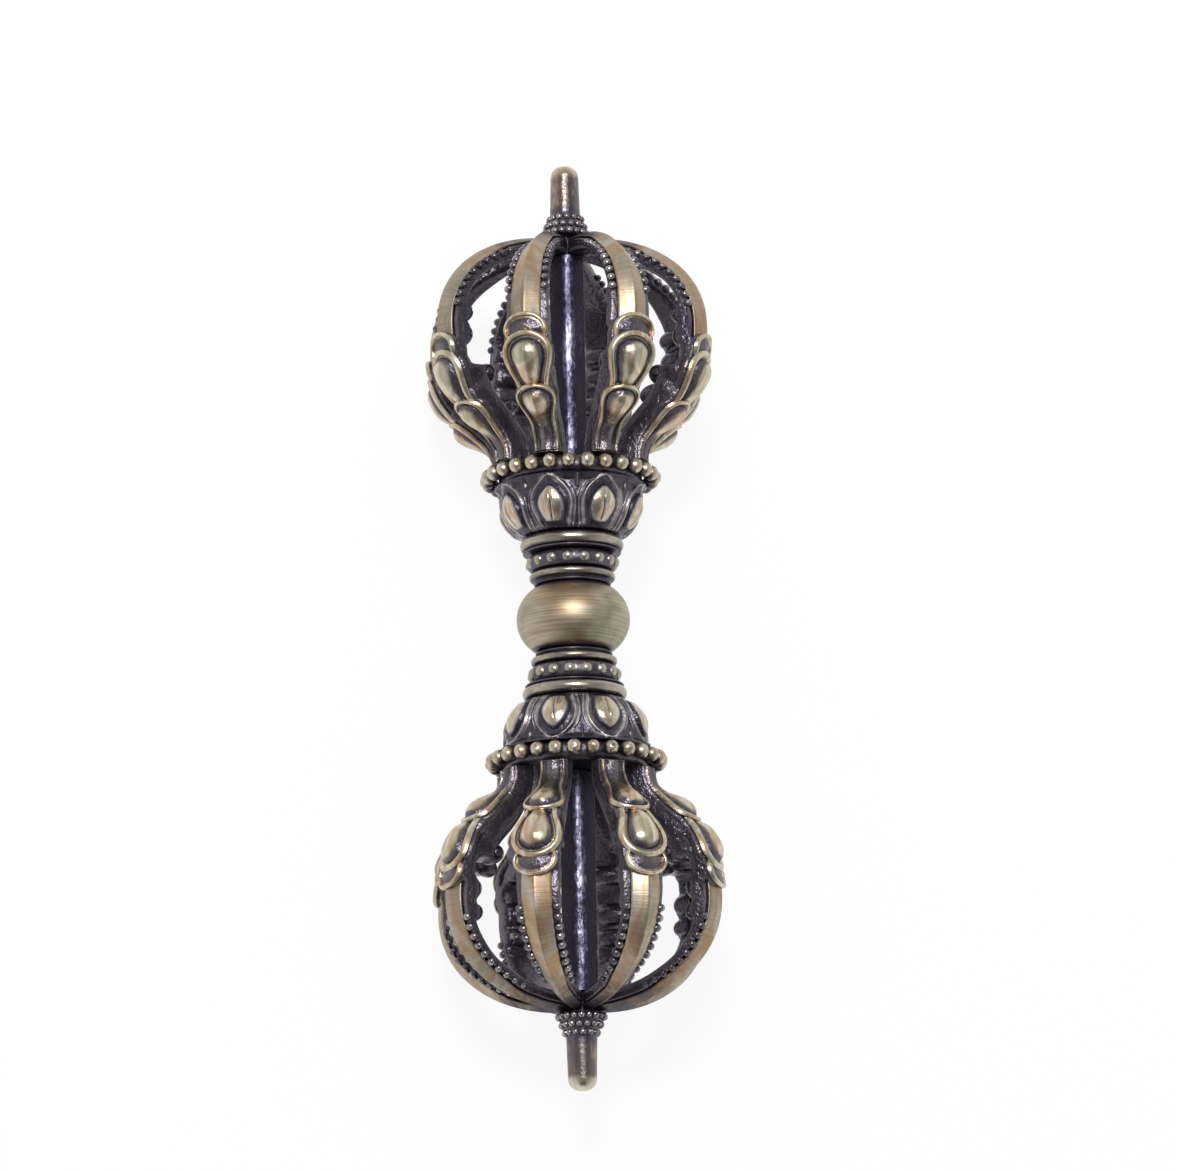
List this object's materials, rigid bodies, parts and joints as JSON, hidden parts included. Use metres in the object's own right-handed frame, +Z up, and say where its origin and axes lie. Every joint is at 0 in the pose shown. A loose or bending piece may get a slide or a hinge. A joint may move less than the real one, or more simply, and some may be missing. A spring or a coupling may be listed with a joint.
{
  "type": "vajra",
  "caption": "Ritual vajra with a round grip in the middle and two matching cage heads, each of curved prongs closing round a straight shaft above a lotus seat.",
  "frame": {"origin": "the point of the table below the middle of the bulb, with the part lying on four lands", "axes": "+Y along the long axis towards the upper head, +Z up from the table, +X to the right"},
  "size_m": [0.0472, 0.16, 0.0472],
  "materials": {
    "bulb_brass": "antiqued brass, brushed round the axis",
    "ring_brass": "antiqued brass, turned and rubbed bright on the rims",
    "bead_band": "nearly black patina with the bead tops rubbed to brass",
    "seat_patina": "nearly black patina in the ground, petals rubbed to brass",
    "pearl_brass": "antiqued brass beads with small casting pits, dark between",
    "prong_brass": "antiqued brass, rubbed on the outer faces, dark at the sides and back",
    "shaft_patina": "nearly black, smooth patina with worn corners",
    "finial_brass": "antiqued brass, rubbed rod over a dark beaded base",
    "stud_brass": "plain brass, hidden inside"
  },
  "bodies": {
    "root": {"upper_neck_collar": "ring_brass", "upper_neck_beads": "bead_band", "upper_neck_ring": "ring_brass", "upper_lotus_seat": "seat_patina", "upper_pearl_ring": "pearl_brass", "upper_central_shaft": "shaft_patina", "upper_finial": "finial_brass", "upper_prong_1": "prong_brass", "upper_prong_2": "prong_brass", "upper_prong_3": "prong_brass", "upper_prong_4": "prong_brass", "upper_prong_5": "prong_brass", "upper_prong_6": "prong_brass", "upper_prong_7": "prong_brass", "upper_prong_8": "prong_brass", "lower_neck_collar": "ring_brass", "lower_neck_beads": "bead_band", "lower_neck_ring": "ring_brass", "lower_lotus_seat": "seat_patina", "lower_pearl_ring": "pearl_brass", "lower_central_shaft": "shaft_patina", "lower_finial": "finial_brass", "lower_prong_1": "prong_brass", "lower_prong_2": "prong_brass", "lower_prong_3": "prong_brass", "lower_prong_4": "prong_brass", "lower_prong_5": "prong_brass", "lower_prong_6": "prong_brass", "lower_prong_7": "prong_brass", "lower_prong_8": "prong_brass", "bulb": "bulb_brass", "core_stud": "stud_brass"}
  },
  "joints": []
}
